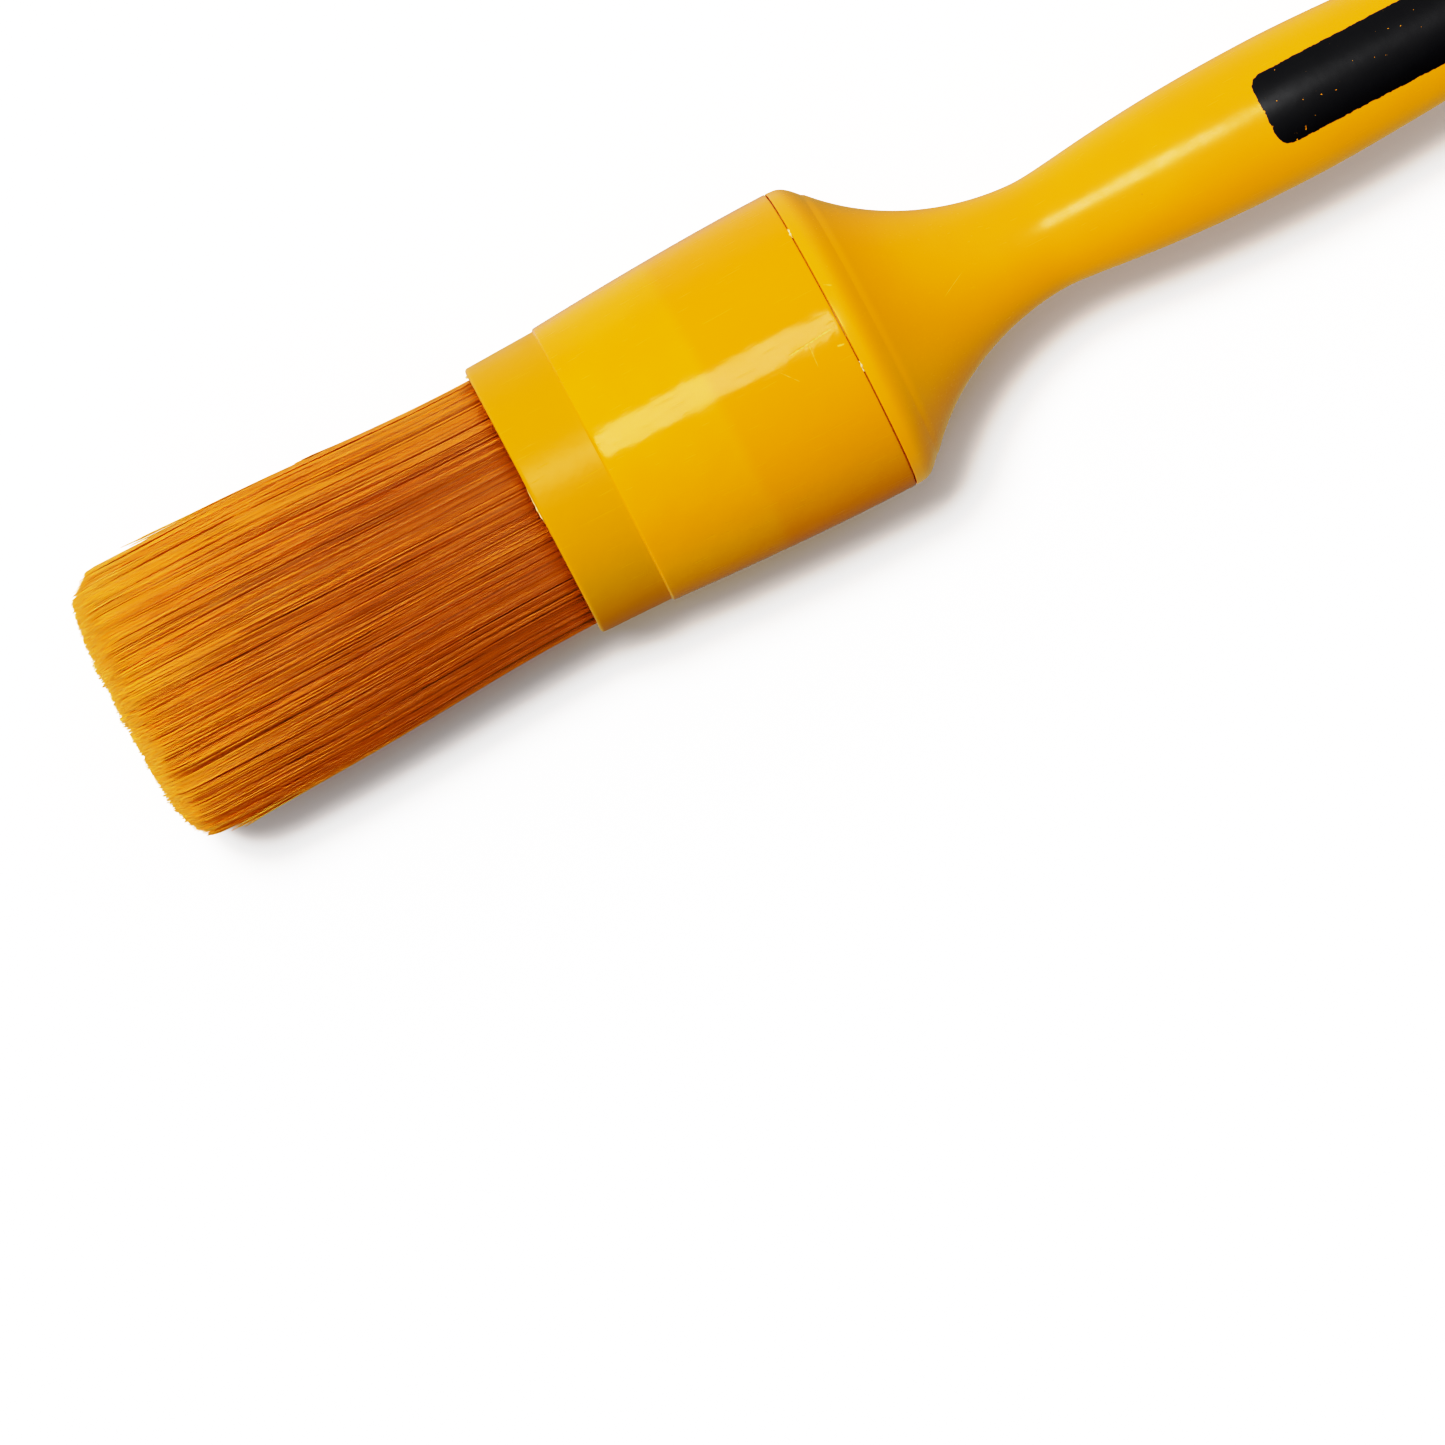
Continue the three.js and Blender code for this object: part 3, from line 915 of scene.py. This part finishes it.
def glue_bead(name, place, degrees, seed):
    """A lumpy run of dried glue round the axis, from one angle off the top to another."""
    rng = np.random.default_rng(seed)
    start, end = np.radians(degrees)
    rings = round((end - start) * place[1] / GLUE_STEP)
    share = np.linspace(0, 1, rings)
    waves = np.arange(3, 3 + rings // 4)[:, None]
    heights = rng.normal(0, 1, waves.shape)
    phases = rng.uniform(0, 6, waves.shape)
    lumps = (heights * np.sin(waves * share * math.pi + phases)).sum(0)
    lumps /= np.abs(lumps).max()
    rounded_ends = np.sqrt(np.sin(math.pi * np.clip(share, 0.02, 0.98)))
    radius = (GLUE_THICKNESS * (1 + 0.5 * lumps) * rounded_ends)[:, None]
    wander = (0.3 * GLUE_THICKNESS * np.sin(7 * share + rng.uniform(0, 6)))[:, None]
    angle = (start + (end - start) * share)[:, None]
    round_it = np.arange(GLUE_SIDES) * 2 * math.pi / GLUE_SIDES
    out = place[1] + 0.7 * radius * np.cos(round_it)
    along = place[0] + wander + radius * np.sin(round_it)
    points = np.stack([along, out * np.sin(angle), out * np.cos(angle)], -1).reshape(-1, 3)
    caps = [list(range(GLUE_SIDES)), list(range((rings - 1) * GLUE_SIDES, rings * GLUE_SIDES))]
    return closed_mesh(name, points, ring_faces(rings, GLUE_SIDES) + caps)


# --- The pieces -----------------------------------------------------------------------------------


def ride_piece(name, mesh, material, slot, *nodes):
    """Puts a piece that doesn't move in its place, instead of the CAD nodes that are named."""
    settle(mesh)
    piece = new_object(name, mesh, material)
    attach(piece, "root")
    if nodes:
        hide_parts(*nodes)
    return piece


def make_ferrule():
    mesh = turned_mesh("ferrule_moulding", refined_loop(ferrule_outline(), 0.8), TURNED_SIDES, True)
    ride_piece("ferrule_moulding", mesh, ferrule_material(), "ferrule", "ferrule")


def make_handle():
    mesh = turned_mesh("handle_moulding", refined(handle_outline(), 1.0), TURNED_SIDES, False)
    mesh = cut(mesh, hang_hole_cutter())
    mesh.set_sharp_from_angle(angle=math.radians(38))
    return ride_piece("handle_moulding", mesh, handle_material(), "handle", "handle")


def make_glue():
    glue = glue_material()
    for seed, (name, place, degrees) in enumerate(GLUE_BEADS, SEED):
        ride_piece(name, glue_bead(name, place, degrees, seed), glue, "resin")


def dress_resin_plug():
    resin = frame["nodes"]["resin_plug"]
    resin.data.materials.clear()
    resin.data.materials.append(resin_material())


def make_bundle():
    filaments = make_filaments(filament_material())
    for filament_piece in filaments:
        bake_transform(filament_piece)
    # All the filament pieces together stand for all the locks.
    locks = sorted(name for name in frame["nodes"] if name.startswith("bristle_lock_"))
    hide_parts(*locks)
    return filaments


make_ferrule()
handle_moulding = make_handle()
make_glue()
dress_resin_plug()
filaments = make_bundle()

# --- Stage, lights and camera ---------------------------------------------------------------------

FLOOR_RADIUS = 3.9
FLOOR_GREY = 0.65
BACKDROP_GLOW = 2.2
# The colour of light that has met the yellow brush on its way.
WARM = (1, 0.84, 0.62)
# Where each light comes from.
KEY_FROM = (-0.11, 0.21, 1)
FLOOR_KEY_FROM = (-0.2, 0.285, 1)
HANDLE_BOUNCE_FROM = (0.1, -0.85, -0.5)
TIP_LIGHT_FROM = (-1, 0.15, 0.15)
SKY_FROM = (-0.66, 0.6, 0.45)
SKY_BRIGHTNESS = 0.95
SKY_FROM_BELOW = 0.22
# The camera stands over one place beside the brush and looks at another, in brush millimetres.
CAMERA_ALONG = -41.5
PICTURE_ALONG = -30.95
PICTURE_ACROSS = -31.1
CAMERA_HEIGHT = 1000
PICTURE_TURN = math.radians(27.756)
SENSOR_WIDTH = 36
FOCAL_LENGTH = 227.46
# The tone curve: the brightest value it takes in, and its points, as (brightness, shown).
TONE_WHITE = 2.0
TONE_POINTS = [
    (0.02, 0.0),
    (0.3, 0.295),
    (0.55, 0.545),
    (0.78, 0.755),
    (0.97, 0.83),
    (1.15, 0.865),
    (1.5, 0.95),
]


def stage_material(name, colour, glow=0.0):
    material, _, surface = material_start(name, 0.9, 0.0)
    surface.inputs["Base Color"].default_value = colour
    surface.inputs["Emission Color"].default_value = colour
    surface.inputs["Emission Strength"].default_value = glow
    return material


def hide_from(stage_object, *rays):
    for ray in rays:
        setattr(stage_object, "visible_" + ray, False)


def make_floor():
    bpy.ops.mesh.primitive_circle_add(vertices=96, radius=FLOOR_RADIUS, fill_type="NGON")
    floor = bpy.context.object
    floor.name = "floor"
    floor.data.materials.append(stage_material("pale_floor", (FLOOR_GREY, FLOOR_GREY, FLOOR_GREY, 1)))
    hide_from(floor, "diffuse", "glossy", "shadow")
    return floor


def make_backdrop():
    bpy.ops.mesh.primitive_uv_sphere_add(segments=64, ring_count=32, radius=FLOOR_RADIUS + 0.05)
    backdrop = bpy.context.object
    backdrop.name = "backdrop"
    backdrop.data.materials.append(stage_material("pale_backdrop", (1, 1, 1, 1), BACKDROP_GLOW))
    hide_from(backdrop, "diffuse", "glossy", "transmission", "volume_scatter", "shadow")
    return backdrop


def sun(name, towards, strength, degrees, only_for=(), colour=(1, 1, 1)):
    """A lamp far away in that direction, as wide as those degrees. It can be for some objects only."""
    data = bpy.data.lights.new(name, "SUN")
    data.energy = strength
    data.angle = math.radians(degrees)
    data.color = colour
    lamp = bpy.data.objects.new(name, data)
    lamp.rotation_mode = "QUATERNION"
    lamp.rotation_quaternion = Vector(towards).to_track_quat("Z", "Y")
    bpy.context.scene.collection.objects.link(lamp)
    if only_for:
        lit = bpy.data.collections.new(name + "_lights")
        lamp.light_linking.receiver_collection = lit
        for receiver in only_for:
            lit.objects.link(receiver)


def make_lamps():
    sun("key", KEY_FROM, strength=1.25, degrees=22)
    sun("floor_key", FLOOR_KEY_FROM, strength=6.5, degrees=21, only_for=[floor])
    # Light that the floor throws back up at the handle, which stands clear of it.
    handle = [handle_moulding]
    sun("handle_bounce", HANDLE_BOUNCE_FROM, strength=0.75, degrees=140, only_for=handle, colour=WARM)
    # Light along the brush that the cut ends of the filaments catch.
    sun("tip_light", TIP_LIGHT_FROM, strength=0.5, degrees=40, only_for=filaments)


def make_sky():
    """Soft light that is strongest high up on the key's side and fades out low down opposite it."""
    world = bpy.data.worlds.new("studio")
    world.use_nodes = True
    bpy.context.scene.world = world
    sky = world.node_tree
    heading = add(sky, "TexCoord").outputs["Generated"]
    facing = vector_maths(sky, "DOT_PRODUCT", heading, SKY_FROM, output=1)
    open_sky = spread(sky, facing, -0.6, 0.25, 0.0, SKY_BRIGHTNESS)
    bounce = spread(sky, split(sky, heading)[2], -0.25, 0.0, SKY_FROM_BELOW, 0.0)
    background = sky.nodes["Background"]
    sky.links.new(plus(sky, open_sky, bounce), background.inputs["Strength"])
    background.inputs["Color"].default_value = (1, 1, 1, 1)


def make_camera():
    camera = bpy.data.objects.new("camera", bpy.data.cameras.new("camera"))
    bpy.context.scene.collection.objects.link(camera)
    bpy.context.scene.camera = camera
    camera.data.sensor_width = SENSOR_WIDTH
    camera.data.lens = FOCAL_LENGTH
    camera.data.clip_end = 20
    eye = JOINT + (ALONG * CAMERA_ALONG + ACROSS * PICTURE_ACROSS + UP * CAMERA_HEIGHT) * MM
    aim = JOINT + (ALONG * PICTURE_ALONG + ACROSS * PICTURE_ACROSS) * MM
    back = (eye - aim).normalized()
    level = ACROSS.cross(back)
    right = level * math.cos(PICTURE_TURN) - ACROSS * math.sin(PICTURE_TURN)
    axes = Matrix((right, back.cross(right), back)).transposed()
    camera.matrix_world = Matrix.Translation(eye) @ axes.to_4x4()


def set_tone_curve():
    """Standard view with a soft shoulder, so bright yellow keeps its hue, and a small toe."""
    view = bpy.context.scene.view_settings
    view.view_transform = "Standard"
    view.use_curve_mapping = True
    view.curve_mapping.white_level = (TONE_WHITE, TONE_WHITE, TONE_WHITE)
    curve = view.curve_mapping.curves[3]
    for brightness, shown in TONE_POINTS:
        curve.points.new(brightness / TONE_WHITE, shown)
    view.curve_mapping.update()


floor = make_floor()
make_backdrop()
make_lamps()
make_sky()
make_camera()
set_tone_curve()
